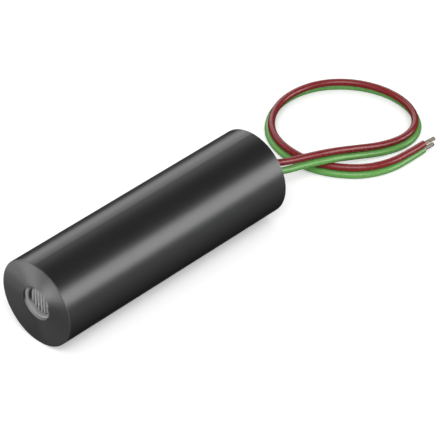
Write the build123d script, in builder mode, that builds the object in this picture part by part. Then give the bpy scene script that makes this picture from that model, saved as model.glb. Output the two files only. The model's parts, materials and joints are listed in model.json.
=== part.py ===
"""A laser diode module in a plain round barrel, lying on its side with its two supply leads.

The beam leaves along +X. The barrel rests on z = 0, so its axis runs at the height of its radius.
A depth is measured backwards from the front face and a radius from the barrel's axis, in millimetres.
"""
import math
import os

from build123d import *

os.makedirs("parts", exist_ok=True)

# Barrel
barrel_length = 45.0
barrel_diameter = 14.0
barrel_wall = 1.0
rim_chamfer = 0.06
mouth_chamfer = 0.2
front_lip = 0.4
aperture_diameter = 5.5
optic_bore_diameter = 8.0

# Clearances and shared small values
fit_gap = 0.05
face_gap = 0.02
cut_overrun = 0.5
slot_width = 0.8
slot_depth = 0.5
edge_break = 0.15

# Line lens and the rings at each side of it
mask_thickness = 0.7
mask_opening_diameter = 4.3
line_lens_thickness = 2.0
rib_pitch = 0.6
rib_height = 0.18
rib_count = 7
lens_retainer_length = 1.5
lens_retainer_opening = 5.2
optic_bore_spare = 0.4

# Focusing cell
mount_wall = 1.45
collimator_inset = 0.6
collimator_length = 5.0
collimator_wall = 1.25
collimator_flange_width = 0.75
collimator_flange_thickness = 1.2
collimator_crown = 0.55
collimator_stop_length = 2.2
collimator_ring_length = 0.9
spring_length = 3.0
spring_wire = 0.5
spring_turns = 2.0

# Diode package
base_diameter = 5.6
base_thickness = 1.2
base_notch = 0.3
can_diameter = 3.55
can_height = 2.3
can_wall = 0.2
can_flange_width = 0.35
can_flange_thickness = 0.25
window_hole_diameter = 1.6
window_thickness = 0.25
pin_diameter = 0.45
pin_circle = 2.0
pin_stub = 0.6
pin_overlap = 2.6
bead_wall = 0.22
pedestal_width = 1.2
pedestal_height = 0.8
pedestal_length = 1.1
chip_width = 0.3
chip_height = 0.1
chip_length = 0.6
monitor_size = 0.7
monitor_thickness = 0.15
monitor_rise = 0.55
cap_clearance = 0.15
shoulder_length = 3.0
clamp_length = 1.2
clamp_width = 0.75
clamp_opening_diameter = 3.8

# Driver board
board_front_gap = 1.6
board_rear_gap = 1.0
board_edge_gap = 0.12
board_corner = 0.6
sleeve_wall = 0.25
sleeve_gap = 0.3
solder_length = 1.8
solder_foot = 1.0
solder_top = 0.6
solder_start = 0.4

# Supply leads
lead_diameter = 1.15
core_diameter = 0.55
seal_thickness = 2.9
seal_recess = 0.6
seal_creep = 0.35
seal_creep_width = 1.2
strip_length = 0.6
core_overlap = 1.8
bare_end_length = 2.2
lead_sides = 6
fillet_share = 0.45

# Frame of the module
barrel_radius = barrel_diameter / 2
axis_height = barrel_radius
front_x = barrel_length / 2
rear_x = -barrel_length / 2
section = Plane(origin=(front_x, 0, axis_height), x_dir=(-1, 0, 0), z_dir=(0, 1, 0))
optical_axis = Axis((front_x, 0, axis_height), (1, 0, 0))


def cross_plane(depth, across=0):
    """A plane across the barrel: x runs to -Y, y runs up, and an extrusion goes backwards."""
    return Plane(origin=(front_x - depth, across, axis_height), x_dir=(0, -1, 0), z_dir=(-1, 0, 0))


def save(part, name):
    """Label a finished piece and write it to its own file."""
    part.label = name
    export_step(part, f"parts/{name}.step")


# Stations along the axis, from the front face backwards
mask_front = front_lip
lens_front = mask_front + mask_thickness
lens_rear = lens_front + line_lens_thickness
lens_retainer_rear = lens_rear + lens_retainer_length
optic_bore_end = lens_retainer_rear + optic_bore_spare
mount_front = optic_bore_end
collimator_front = mount_front + collimator_inset
collimator_rear = collimator_front + collimator_length
shoulder_front = collimator_rear + spring_length
base_seat = shoulder_front + shoulder_length
base_rear = base_seat + base_thickness
mount_rear = base_rear + clamp_length
seal_rear = barrel_length - seal_recess
seal_front = seal_rear - seal_thickness
board_front = mount_rear + board_front_gap
board_rear = seal_front - board_rear_gap
board_length = board_rear - board_front

# Radii that follow from the bore
bore_radius = barrel_radius - barrel_wall
optic_bore_radius = optic_bore_diameter / 2
optic_radius = optic_bore_radius - fit_gap
mount_radius = bore_radius - fit_gap
cell_bore_radius = mount_radius - mount_wall
collimator_radius = cell_bore_radius - fit_gap
lens_seat_radius = collimator_radius - collimator_wall
collimator_lens_radius = lens_seat_radius - fit_gap
lens_opening_radius = collimator_lens_radius - collimator_flange_width

# Housing: one turned piece, its front lip left standing round the aperture
with BuildPart() as housing:
    with BuildSketch(section):
        with BuildLine():
            Polyline(
                (0, aperture_diameter / 2),
                (0, barrel_radius),
                (barrel_length, barrel_radius),
                (barrel_length, bore_radius),
                (optic_bore_end, bore_radius),
                (optic_bore_end, optic_bore_radius),
                (front_lip, optic_bore_radius),
                (front_lip, aperture_diameter / 2),
                close=True,
            )
        make_face()
    revolve(axis=optical_axis)
    outer_rims = housing.edges().filter_by(GeomType.CIRCLE).group_by(SortBy.RADIUS)[-1]
    chamfer(outer_rims, length=rim_chamfer)
    rear_circles = housing.edges().filter_by(GeomType.CIRCLE).group_by(Axis.X)[0]
    chamfer(rear_circles.sort_by(SortBy.RADIUS)[0], length=mouth_chamfer)
save(housing.part, "housing")

# Mask ring: the satin ring that shows inside the aperture, its opening chamfered to the front
with BuildPart() as lens_mask_ring:
    with BuildSketch(cross_plane(mask_front)):
        Circle(optic_radius)
        Circle(mask_opening_diameter / 2, mode=Mode.SUBTRACT)
    extrude(amount=mask_thickness)
    opening_edges = lens_mask_ring.edges().filter_by(GeomType.CIRCLE).group_by(SortBy.RADIUS)[0]
    chamfer(opening_edges.sort_by(Axis.X)[-1], length=edge_break)
save(lens_mask_ring.part, "lens_mask_ring")

# Line lens: a clear disc whose front face carries a field of upright half-round ribs
rib_field_width = rib_count * rib_pitch
rib_field_radius = min(rib_field_width, mask_opening_diameter) / 2 - fit_gap
rib_root = line_lens_thickness / 2
with BuildPart() as line_lens:
    lens_face_x = front_x - lens_front
    with BuildSketch(Plane.XY.offset(axis_height - rib_field_radius)):
        with BuildLine():
            for index in range(rib_count):
                near = index * rib_pitch - rib_field_width / 2
                far = near + rib_pitch
                ThreePointArc(
                    (lens_face_x, near),
                    (lens_face_x + rib_height, (near + far) / 2),
                    (lens_face_x, far),
                )
            Polyline(
                (lens_face_x, rib_field_width / 2),
                (lens_face_x - rib_root, rib_field_width / 2),
                (lens_face_x - rib_root, -rib_field_width / 2),
                (lens_face_x, -rib_field_width / 2),
            )
        make_face()
    extrude(amount=2 * rib_field_radius)
    with BuildSketch(cross_plane(lens_front - rib_height)):
        Circle(rib_field_radius)
    extrude(amount=rib_height + rib_root, mode=Mode.INTERSECT)
    with BuildSketch(cross_plane(lens_front)):
        Circle(optic_radius)
    extrude(amount=line_lens_thickness)
save(line_lens.part, "line_lens")

# Retaining ring behind the line lens, with a slot across its rear face for a spanner
with BuildPart() as line_lens_retainer:
    with BuildSketch(cross_plane(lens_rear)):
        Circle(optic_radius)
        Circle(lens_retainer_opening / 2, mode=Mode.SUBTRACT)
    extrude(amount=lens_retainer_length)
    with BuildSketch(cross_plane(lens_retainer_rear - slot_depth)):
        Rectangle(optic_bore_diameter, slot_width)
    extrude(amount=slot_depth + cut_overrun, mode=Mode.SUBTRACT)
save(line_lens_retainer.part, "line_lens_retainer")

# Diode mount: a brass carrier, bored from the front for the focusing cell and from the rear for the diode
can_flange_radius = can_diameter / 2 + can_flange_width
shoulder_bore_radius = can_flange_radius + cap_clearance
base_bore_radius = base_diameter / 2 + fit_gap
clamp_bore_radius = base_bore_radius + clamp_width
with BuildPart() as diode_mount:
    with BuildSketch(section):
        with BuildLine():
            Polyline(
                (mount_front, cell_bore_radius),
                (mount_front, mount_radius),
                (mount_rear, mount_radius),
                (mount_rear, clamp_bore_radius),
                (base_rear, clamp_bore_radius),
                (base_rear, base_bore_radius),
                (base_seat, base_bore_radius),
                (base_seat, shoulder_bore_radius),
                (shoulder_front, shoulder_bore_radius),
                (shoulder_front, cell_bore_radius),
                close=True,
            )
        make_face()
    revolve(axis=optical_axis)
save(diode_mount.part, "diode_mount")

# Collimator barrel: a short tube with a seat for the lens and a slot for the focusing tool
lens_seat = collimator_rear - collimator_stop_length
with BuildPart() as collimator_barrel:
    with BuildSketch(section):
        with BuildLine():
            Polyline(
                (collimator_front, lens_seat_radius),
                (collimator_front, collimator_radius),
                (collimator_rear, collimator_radius),
                (collimator_rear, lens_opening_radius),
                (lens_seat, lens_opening_radius),
                (lens_seat, lens_seat_radius),
                close=True,
            )
        make_face()
    revolve(axis=optical_axis)
    with BuildSketch(cross_plane(collimator_front - cut_overrun)):
        Rectangle(2 * cell_bore_radius, slot_width)
    extrude(amount=slot_depth + cut_overrun, mode=Mode.SUBTRACT)
save(collimator_barrel.part, "collimator_barrel")

# Collimator lens: a moulded lens with a crowned front and a flat flange that the ring bears on
flange_front = lens_seat - collimator_flange_thickness
crown_front = flange_front - collimator_crown
crown_radius = (lens_opening_radius ** 2 + collimator_crown ** 2) / (2 * collimator_crown)
crown_half_angle = math.asin(lens_opening_radius / crown_radius) / 2
crown_mid_depth = crown_front + crown_radius * (1 - math.cos(crown_half_angle))
crown_mid_radius = crown_radius * math.sin(crown_half_angle)
with BuildPart() as collimator_lens:
    with BuildSketch(section):
        with BuildLine():
            ThreePointArc(
                (crown_front, 0),
                (crown_mid_depth, crown_mid_radius),
                (flange_front, lens_opening_radius),
            )
            Polyline(
                (flange_front, lens_opening_radius),
                (flange_front, collimator_lens_radius),
                (lens_seat, collimator_lens_radius),
                (lens_seat, 0),
                (crown_front, 0),
            )
        make_face()
    revolve(axis=optical_axis)
save(collimator_lens.part, "collimator_lens")

# Collimator ring: bears on the lens flange
with BuildPart() as collimator_retainer:
    with BuildSketch(cross_plane(flange_front - collimator_ring_length)):
        Circle(collimator_lens_radius)
        Circle(lens_opening_radius + fit_gap, mode=Mode.SUBTRACT)
    extrude(amount=collimator_ring_length)
save(collimator_retainer.part, "collimator_retainer")

# Focus spring: an open coil of square wire between the focusing cell and the mount's shoulder
spring_radius = (shoulder_bore_radius + cell_bore_radius) / 2
spring_travel = spring_length - spring_wire - 2 * face_gap
spring_start = front_x - shoulder_front + spring_wire / 2 + face_gap
with BuildPart() as focus_spring:
    with BuildLine():
        coil = Helix(
            pitch=spring_travel / spring_turns,
            height=spring_travel,
            radius=spring_radius,
            center=(spring_start, 0, axis_height),
            direction=(1, 0, 0),
        )
    with BuildSketch(Plane(origin=coil @ 0, x_dir=(1, 0, 0), z_dir=coil % 0)):
        Rectangle(spring_wire, spring_wire)
    sweep(path=coil, is_frenet=True)
save(focus_spring.part, "focus_spring")

# Diode base: the round stem, notched at its rim, with two holes for the insulated pins
base_radius = base_diameter / 2
pin_circle_radius = pin_circle / 2
bead_radius = pin_diameter / 2 + bead_wall
with BuildPart() as diode_base:
    with BuildSketch(cross_plane(base_seat)):
        Circle(base_radius)
        with PolarLocations(base_radius, 2):
            RegularPolygon(radius=base_notch, side_count=4, mode=Mode.SUBTRACT)
        with Locations((0, base_radius)):
            Rectangle(2 * base_notch, 2 * base_notch, mode=Mode.SUBTRACT)
        with PolarLocations(pin_circle_radius, 2):
            Circle(bead_radius, mode=Mode.SUBTRACT)
    extrude(amount=base_thickness)
save(diode_base.part, "diode_base")

# Glass beads that insulate the two signal pins
with BuildPart() as lead_insulators:
    with BuildSketch(cross_plane(base_seat)):
        with PolarLocations(pin_circle_radius, 2):
            Circle(bead_radius)
            Circle(pin_diameter / 2, mode=Mode.SUBTRACT)
    extrude(amount=base_thickness)
save(lead_insulators.part, "lead_insulators")

# Pins: two pass through the base, and the case pin is welded to its rear face
pin_end = board_front + pin_overlap
with BuildPart() as diode_leads:
    with BuildSketch(cross_plane(base_seat - pin_stub)):
        with PolarLocations(pin_circle_radius, 2):
            Circle(pin_diameter / 2)
    extrude(amount=pin_end - base_seat + pin_stub)
    with BuildSketch(cross_plane(base_rear)):
        with Locations((0, -pin_circle_radius)):
            Circle(pin_diameter / 2)
    extrude(amount=pin_end - base_rear)
save(diode_leads.part, "diode_leads")

# Can over the chip, with a welded flange and a round window hole
can_radius = can_diameter / 2
can_front = base_seat - can_height
window_front = can_front + can_wall
with BuildPart() as diode_cap:
    with BuildSketch(section):
        with BuildLine():
            Polyline(
                (can_front, window_hole_diameter / 2),
                (can_front, can_radius),
                (base_seat - can_flange_thickness, can_radius),
                (base_seat - can_flange_thickness, can_flange_radius),
                (base_seat, can_flange_radius),
                (base_seat, can_radius - can_wall),
                (window_front, can_radius - can_wall),
                (window_front, window_hole_diameter / 2),
                close=True,
            )
        make_face()
    revolve(axis=optical_axis)
save(diode_cap.part, "diode_cap")

# Window glass, sealed to the inside of the can's front
with BuildPart() as diode_window:
    with BuildSketch(cross_plane(window_front)):
        Circle(can_radius - can_wall - fit_gap)
    extrude(amount=window_thickness)
save(diode_window.part, "diode_window")

# Pedestal that carries the chip on the optical axis
with BuildPart() as diode_pedestal:
    with BuildSketch(cross_plane(base_seat - pedestal_length)):
        with Locations((0, -chip_height / 2 - pedestal_height / 2)):
            Rectangle(pedestal_width, pedestal_height)
    extrude(amount=pedestal_length)
    lower_edges = diode_pedestal.edges().filter_by(Axis.X).group_by(Axis.Z)[0]
    fillet(lower_edges, radius=pedestal_height / 2)
save(diode_pedestal.part, "diode_pedestal")

# Laser chip on the pedestal's front edge
with BuildPart() as diode_chip:
    with BuildSketch(cross_plane(base_seat - pedestal_length)):
        Rectangle(chip_width, chip_height)
    extrude(amount=chip_length)
save(diode_chip.part, "diode_chip")

# Monitor photodiode on the base, behind and above the chip
with BuildPart() as monitor_photodiode:
    with BuildSketch(cross_plane(base_seat - monitor_thickness)):
        with Locations((0, monitor_rise)):
            Rectangle(monitor_size, monitor_size)
    extrude(amount=monitor_thickness)
save(monitor_photodiode.part, "monitor_photodiode")

# Clamp ring that presses the base into its seat
clamp_radius = clamp_bore_radius - fit_gap
with BuildPart() as diode_clamp_ring:
    with BuildSketch(cross_plane(base_rear)):
        Circle(clamp_radius)
        Circle(clamp_opening_diameter / 2, mode=Mode.SUBTRACT)
    extrude(amount=clamp_length)
    with BuildSketch(cross_plane(mount_rear - slot_depth)):
        Rectangle(2 * clamp_bore_radius, slot_width)
    extrude(amount=slot_depth + cut_overrun, mode=Mode.SUBTRACT)
save(diode_clamp_ring.part, "diode_clamp_ring")

# Driver board: it slides between the two upper pins and the case pin, its edges near the sleeve
sleeve_outer_radius = bore_radius - fit_gap
sleeve_inner_radius = sleeve_outer_radius - sleeve_wall
pin_rise = pin_diameter / 2 + face_gap
board_top = axis_height - pin_rise
board_bottom = axis_height - pin_circle_radius + pin_rise
board_thickness = board_top - board_bottom
board_reach = axis_height - board_bottom
board_width = 2 * math.sqrt((sleeve_inner_radius - board_edge_gap) ** 2 - board_reach ** 2)
board_front_x = front_x - board_front
board_centre_x = board_front_x - board_length / 2
with BuildPart() as driver_board:
    with BuildSketch(Plane.XY.offset(board_bottom)):
        with Locations((board_centre_x, 0)):
            RectangleRounded(board_length, board_width, board_corner)
    extrude(amount=board_thickness)
save(driver_board.part, "driver_board")

# Insulating sleeve round the board
with BuildPart() as insulating_sleeve:
    with BuildSketch(cross_plane(mount_rear + sleeve_gap)):
        Circle(sleeve_outer_radius)
        Circle(sleeve_inner_radius, mode=Mode.SUBTRACT)
    extrude(amount=seal_front - mount_rear - 2 * sleeve_gap)
save(insulating_sleeve.part, "insulating_sleeve")


def top_spot(length_share, width_share):
    """A plane on the board's upper face; the shares run from its front edge and its middle line."""
    x = board_front_x - board_length * length_share
    y = board_width / 2 * width_share
    return Plane(origin=(x, y, board_top), x_dir=(1, 0, 0), z_dir=(0, 0, 1))


def bottom_spot(length_share, width_share):
    """The same on the board's lower face, facing down."""
    x = board_front_x - board_length * length_share
    y = board_width / 2 * width_share
    return Plane(origin=(x, y, board_bottom), x_dir=(1, 0, 0), z_dir=(0, 0, -1))


def turned(spot):
    """The spot's plane set upright across the board: x runs along its width and y away from the board."""
    return Plane(origin=spot.origin, x_dir=spot.y_dir, z_dir=spot.x_dir)


def leg_points(reach, body_half, foot, leg, height):
    """Outline of one bent leg, from the body's side down to a foot on the board."""
    return [
        (body_half, height),
        (reach - foot, height),
        (reach - foot, leg),
        (reach, leg),
        (reach, 0),
        (reach - foot - leg, 0),
        (reach - foot - leg, height - leg),
        (body_half, height - leg),
    ]


# Driver circuit: a moulded body with four bent legs on each long side
ic_length = 3.0
ic_width = 3.0
ic_height = 0.85
ic_stand = 0.1
ic_span = 4.9
ic_pitch = 0.65
ic_legs_each_side = 4
leg_width = 0.3
leg_thickness = 0.15
leg_foot = 0.5
ic_length_share = 0.5
ic_width_share = -0.36
ic_spot = top_spot(ic_length_share, ic_width_share)
ic_leg = leg_points(ic_span / 2, ic_width / 2 - leg_thickness, leg_foot, leg_thickness, ic_height / 2)
with BuildPart() as driver_ic:
    with BuildSketch(ic_spot.offset(ic_stand)):
        Rectangle(ic_length, ic_width)
    extrude(amount=ic_height)
    chamfer(driver_ic.edges().group_by(Axis.Z)[-1], length=edge_break)
    for place in GridLocations(ic_pitch, 0, ic_legs_each_side, 1):
        with BuildSketch(turned(ic_spot).offset(place.position.X)):
            with BuildLine():
                Polyline(*ic_leg, close=True)
            make_face()
            mirror(about=Plane.YZ)
        extrude(amount=leg_width / 2, both=True)
save(driver_ic.part, "driver_ic")

# Pass transistor: a small body with two legs on one side and one on the other
transistor_length = 1.3
transistor_width = 2.9
transistor_height = 1.0
transistor_stand = 0.1
transistor_span = 2.4
transistor_pitch = 1.9
transistor_foot = 0.25
transistor_length_share = 0.27
transistor_width_share = 0.58
transistor_spot = top_spot(transistor_length_share, transistor_width_share)
transistor_legs = Plane(origin=transistor_spot.origin, x_dir=(1, 0, 0), z_dir=(0, -1, 0))
transistor_leg = leg_points(
    transistor_span / 2,
    transistor_length / 2 - leg_thickness,
    transistor_foot,
    leg_thickness,
    transistor_height / 2,
)
with BuildPart() as pass_transistor:
    with BuildSketch(transistor_spot.offset(transistor_stand)):
        Rectangle(transistor_length, transistor_width)
    extrude(amount=transistor_height)
    chamfer(pass_transistor.edges().group_by(Axis.Z)[-1], length=edge_break)
    for place in GridLocations(transistor_pitch, 0, 2, 1):
        with BuildSketch(transistor_legs.offset(place.position.X)):
            with BuildLine():
                Polyline(*transistor_leg, close=True)
            make_face()
        extrude(amount=leg_width / 2, both=True)
    with BuildSketch(transistor_legs):
        with BuildLine():
            Polyline(*transistor_leg, close=True)
        make_face()
        mirror(about=Plane.YZ, mode=Mode.REPLACE)
    extrude(amount=leg_width / 2, both=True)
save(pass_transistor.part, "pass_transistor")

# Storage capacitor: a moulded block with metal ends that wrap under it
capacitor_length = 3.5
capacitor_width = 2.8
capacitor_height = 1.9
end_wrap = 0.8
end_thickness = 0.1
capacitor_length_share = 0.72
capacitor_width_share = 0.58
capacitor_spot = top_spot(capacitor_length_share, capacitor_width_share)
with BuildPart() as storage_capacitor:
    with BuildSketch(capacitor_spot.offset(end_thickness)):
        Rectangle(capacitor_length, capacitor_width)
    extrude(amount=capacitor_height)
    chamfer(storage_capacitor.edges().group_by(Axis.Z)[-1], length=edge_break)
    with BuildSketch(capacitor_spot):
        with GridLocations(capacitor_length - end_wrap + 2 * end_thickness, 0, 2, 1):
            Rectangle(end_wrap, capacitor_width - end_wrap)
    extrude(amount=capacitor_height / 2)
save(storage_capacitor.part, "storage_capacitor")


# Ceramic capacitors and chip resistors: rows of small blocks with plated ends, on the lower face
ceramic_length = 2.0
ceramic_width = 1.25
ceramic_height = 0.9
ceramic_plated = 0.4
resistor_length = 1.6
resistor_width = 0.8
resistor_height = 0.45
resistor_plated = 0.3
plating = 0.03
ceramic_lane_share = 0.58
resistor_lane_share = -0.58
ceramic_length_shares = (0.2, 0.5, 0.8)
resistor_length_shares = (0.14, 0.38, 0.62, 0.86)
chip_rows = (
    ("ceramic_capacitors", ceramic_length_shares, ceramic_lane_share,
     ceramic_length, ceramic_width, ceramic_height, ceramic_plated),
    ("chip_resistors", resistor_length_shares, resistor_lane_share,
     resistor_length, resistor_width, resistor_height, resistor_plated),
)
for row_name, length_shares, lane_share, chip_run, chip_across, chip_rise, plated in chip_rows:
    with BuildPart() as chip_row:
        for length_share in length_shares:
            chip_spot = bottom_spot(length_share, lane_share)
            with BuildSketch(chip_spot.offset(plating)):
                Rectangle(chip_run - plated, chip_across - 2 * plating)
            extrude(amount=chip_rise - 2 * plating)
            with BuildSketch(chip_spot):
                with GridLocations(chip_run - plated, 0, 2, 1):
                    Rectangle(plated, chip_across)
            extrude(amount=chip_rise)
    save(chip_row.part, row_name)

# Diode against reversed polarity, in the middle of the lower face
guard_length = 2.7
guard_width = 1.6
guard_height = 1.0
guard_span = 3.6
guard_length_share = 0.52
guard_width_share = 0
guard_spot = bottom_spot(guard_length_share, guard_width_share)
guard_foot = 0.3
guard_legs = Plane(origin=guard_spot.origin, x_dir=(1, 0, 0), z_dir=(0, 1, 0))
guard_leg = leg_points(guard_span / 2, guard_length / 2 - leg_thickness, guard_foot, leg_thickness, guard_height / 2)
with BuildPart() as polarity_diode:
    with BuildSketch(guard_spot.offset(ic_stand)):
        Rectangle(guard_length, guard_width)
    extrude(amount=guard_height)
    chamfer(polarity_diode.edges().group_by(Axis.Z)[0], length=edge_break)
    with BuildSketch(guard_legs):
        with BuildLine():
            Polyline(*guard_leg, close=True)
        make_face()
        mirror(about=Plane.YZ)
    extrude(amount=leg_width, both=True)
save(polarity_diode.part, "polarity_diode")


def solder_points(foot, middle, wire_radius):
    """Outline of a mound on the board that rises past the middle of a round wire."""
    top = middle + math.copysign(wire_radius / 2, middle - foot)
    return [
        (-solder_foot / 2, foot),
        (solder_foot / 2, foot),
        (solder_top / 2, top),
        (-solder_top / 2, top),
    ]


# Solder at the pins: two mounds on the board's upper face and one on its lower face
pin_radius = pin_diameter / 2
pin_joints = (
    (-pin_circle_radius, -pin_rise, 0),
    (pin_circle_radius, -pin_rise, 0),
    (0, pin_rise - pin_circle_radius, -pin_circle_radius),
)
with BuildPart() as diode_pin_solder:
    for across, foot, middle in pin_joints:
        with BuildSketch(cross_plane(board_front + solder_start, across)):
            with BuildLine():
                Polyline(*solder_points(foot, middle, pin_radius), close=True)
            make_face()
            with Locations((0, middle)):
                Circle(pin_radius, mode=Mode.SUBTRACT)
        extrude(amount=solder_length)
save(diode_pin_solder.part, "diode_pin_solder")

# The supply leads pass the seal above and below the board
lead_radius = lead_diameter / 2
core_radius = core_diameter / 2
red_rise = lead_radius + face_gap - pin_rise
green_rise = pin_rise - pin_circle_radius - lead_radius - face_gap

# Seal: potting compound that closes the rear, creeping up the bore wall as it cured
with BuildPart() as rear_seal:
    with BuildSketch(section):
        with BuildLine():
            Polyline(
                (seal_rear, bore_radius - seal_creep_width),
                (seal_rear, 0),
                (seal_front, 0),
                (seal_front, bore_radius),
                (seal_rear + seal_creep, bore_radius),
                close=True,
            )
        make_face()
    revolve(axis=optical_axis)
    with BuildSketch(cross_plane(seal_front - cut_overrun)):
        with Locations((0, red_rise), (0, green_rise)):
            Circle(lead_radius)
    extrude(amount=seal_thickness + 2 * cut_overrun, mode=Mode.SUBTRACT)
save(rear_seal.part, "rear_seal")

# Insulated inner ends of the leads, from the seal's outer face to the stripped cores
inner_end_front = board_rear + strip_length
for lead_name, rise in (("red_lead_inner_end", red_rise), ("green_lead_inner_end", green_rise)):
    with BuildPart() as inner_end:
        with BuildSketch(cross_plane(inner_end_front)):
            with Locations((0, rise)):
                Circle(lead_radius)
        extrude(amount=seal_rear - inner_end_front)
    save(inner_end.part, lead_name)

# Stripped cores, which reach over the board's pads
with BuildPart() as inner_conductor_ends:
    with BuildSketch(cross_plane(board_rear - core_overlap - solder_start)):
        with Locations((0, red_rise), (0, green_rise)):
            Circle(core_radius)
    extrude(amount=core_overlap + solder_start + strip_length)
save(inner_conductor_ends.part, "inner_conductor_ends")

# Solder at the cores
with BuildPart() as supply_lead_solder:
    for foot, middle in ((-pin_rise, red_rise), (pin_rise - pin_circle_radius, green_rise)):
        with BuildSketch(cross_plane(board_rear - core_overlap - solder_start)):
            with BuildLine():
                Polyline(*solder_points(foot, middle, core_radius), close=True)
            make_face()
            with Locations((0, middle)):
                Circle(core_radius, mode=Mode.SUBTRACT)
        extrude(amount=core_overlap)
save(supply_lead_solder.part, "supply_lead_solder")

# Route of the pair's middle line behind the rear face: x from that face and y. The pair drops from the
# seal, rides over its own return, lies down, loops round to the left and comes back under itself. The red
# lead lies on the green one and leans a little to the inside of the loop. The points are chosen by hand
# against the photograph.
# Points of the drop: x, y, z from the floor, half the rise from lead to lead, and half the lean
drop_route = [
    (-6.2, 0.4, 4.65, 0.7, 0.15),
    (-10.6, 1.3, 4.0, 0.62, 0.18),
    (-15.0, 2.8, 3.56, 0.62, 0.18),
    (-19.6, 3.8, 2.25, 0.6, 0.18),
]
# Points on the floor: x, y and half the lean
floor_route = [
    (-24.3, 5.1, 0.2),
    (-28.4, 6.4, 0.24),
    (-32.2, 5.7, 0.24),
    (-35.0, 3.2, 0.24),
    (-36.7, -0.3, 0.26),
    (-37.1, -4.6, 0.28),
    (-35.9, -8.8, 0.26),
    (-33.4, -12.3, 0.24),
    (-29.9, -14.7, 0.27),
    (-25.6, -15.6, 0.3),
    (-21.2, -14.9, 0.29),
    (-17.1, -12.5, 0.26),
    (-14.4, -9.1, 0.22),
    (-13.2, -4.9, 0.2),
    (-13.3, -0.3, 0.18),
    (-14.6, 3.8, 0.18),
    (-17.7, 7.0, 0.18),
    (-21.7, 9.1, 0.1),
    (-26.0, 9.5, 0),
    (-29.5, 9.5, -0.05),
]
exit_run = 2.9
pair_half_gap = 0.59


def pair_points():
    """The pair's points behind the rear face, each with half its rise and half its lean."""
    points = [(Vector(rear_x + x, y, z), half_rise, half_lean) for x, y, z, half_rise, half_lean in drop_route]
    for x, y, half_lean in floor_route:
        half_rise = math.sqrt(pair_half_gap ** 2 - half_lean ** 2)
        points.append((Vector(rear_x + x, y, lead_radius + half_rise), half_rise, half_lean))
    return points


def lead_route(side, exit_rise):
    """One lead's points: the exit run, then the pair's route moved up or down and along its lean."""
    route = [
        Vector(rear_x + seal_recess, 0, axis_height + exit_rise),
        Vector(rear_x + seal_recess - exit_run, 0, axis_height + exit_rise),
    ]
    pair = pair_points()
    for index, (point, half_rise, half_lean) in enumerate(pair):
        before = pair[index - 1][0] if index > 0 else Vector(rear_x, 0, point.Z)
        after = pair[index + 1][0] if index < len(pair) - 1 else point * 2 - before
        arriving = Vector(point.X - before.X, point.Y - before.Y, 0).normalized()
        leaving = Vector(after.X - point.X, after.Y - point.Y, 0).normalized()
        heading = (arriving + leaving).normalized()
        step = side * half_lean / heading.dot(arriving)
        route.append(point + Vector(-heading.Y, heading.X, 0) * step + Vector(0, 0, side * half_rise))
    return route


def corner_radii(route):
    """The radius at each corner of a route: a share of the shorter run over the tangent of half the turn."""
    radii = []
    for before, point, after in zip(route, route[1:], route[2:]):
        arriving = point - before
        leaving = after - point
        half_turn = math.radians(arriving.get_angle(leaving)) / 2
        radii.append(fillet_share * min(arriving.length, leaving.length) / math.tan(half_turn))
    return radii


# Supply leads, each one tube of straight runs and arcs with a plain many-sided section, and its bare
# tinned end
for lead_name, side, exit_rise in (("red_lead", 1, red_rise), ("green_lead", -1, green_rise)):
    route = lead_route(side, exit_rise)
    radii = corner_radii(route)
    with BuildPart() as lead:
        with BuildLine():
            lead_path = FilletPolyline(*route, radius=radii)
        with BuildSketch(Plane(origin=lead_path @ 0, x_dir=(0, 1, 0), z_dir=lead_path % 0)) as lead_section:
            RegularPolygon(radius=lead_radius, side_count=lead_sides)
        sweep(path=lead_path)
    save(lead.part, lead_name)
    tube_volume = lead_section.sketch.area * lead_path.length
    print(lead_name, "length", round(lead_path.length, 2), "volume", round(lead.part.volume / tube_volume, 5))
    print("  radii", [round(radius, 1) for radius in radii])

    with BuildPart() as bare_end:
        with BuildSketch(Plane(origin=lead_path @ 1, x_dir=(0, 0, 1), z_dir=lead_path % 1)):
            RegularPolygon(radius=core_radius, side_count=lead_sides)
        extrude(amount=bare_end_length)
    save(bare_end.part, lead_name + "_bare_end")
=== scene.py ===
# %% [markdown]
# # A laser diode module, dressed for its portrait
# The module is a plain black turned barrel on its side. A small round aperture in its front face shows a
# satin ring and a ribbed line lens. A red and a green lead leave the potted rear, ride over their own
# return in one loose loop and end in bare tinned wire.
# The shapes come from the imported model, which is loaded first. This script adds what the eye reads as
# finish: round soft leads, tinned strands, resin collars, materials, light and floor.

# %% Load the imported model
import json
import math

import bmesh
import bpy
from mathutils import Matrix, Vector


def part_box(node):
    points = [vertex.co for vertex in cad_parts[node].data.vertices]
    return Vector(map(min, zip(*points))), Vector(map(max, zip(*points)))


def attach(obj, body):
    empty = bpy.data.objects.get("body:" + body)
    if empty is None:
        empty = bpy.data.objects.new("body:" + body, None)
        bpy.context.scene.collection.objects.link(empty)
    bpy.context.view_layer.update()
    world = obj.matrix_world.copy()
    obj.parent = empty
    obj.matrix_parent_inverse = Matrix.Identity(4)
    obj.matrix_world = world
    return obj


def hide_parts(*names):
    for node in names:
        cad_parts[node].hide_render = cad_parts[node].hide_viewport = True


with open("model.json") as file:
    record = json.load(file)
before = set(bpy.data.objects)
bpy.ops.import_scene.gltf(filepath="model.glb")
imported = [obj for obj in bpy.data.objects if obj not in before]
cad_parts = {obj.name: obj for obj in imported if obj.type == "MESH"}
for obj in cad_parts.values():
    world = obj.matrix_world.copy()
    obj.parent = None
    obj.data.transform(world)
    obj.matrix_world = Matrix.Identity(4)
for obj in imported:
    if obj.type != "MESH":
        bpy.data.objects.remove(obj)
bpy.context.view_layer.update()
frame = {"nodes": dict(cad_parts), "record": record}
nodes = frame["nodes"]

# %% [markdown]
# ## Sizes that the pieces share
# The barrel is one turned tube, and most of what follows is placed by its ends and its axis. Those sizes
# could be typed in again, but they are read from the housing's own box, so they can't drift from the model.
# Blender works in metres and a barrel is measured in millimetres, so lengths are written as 0.35 * mm.

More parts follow.
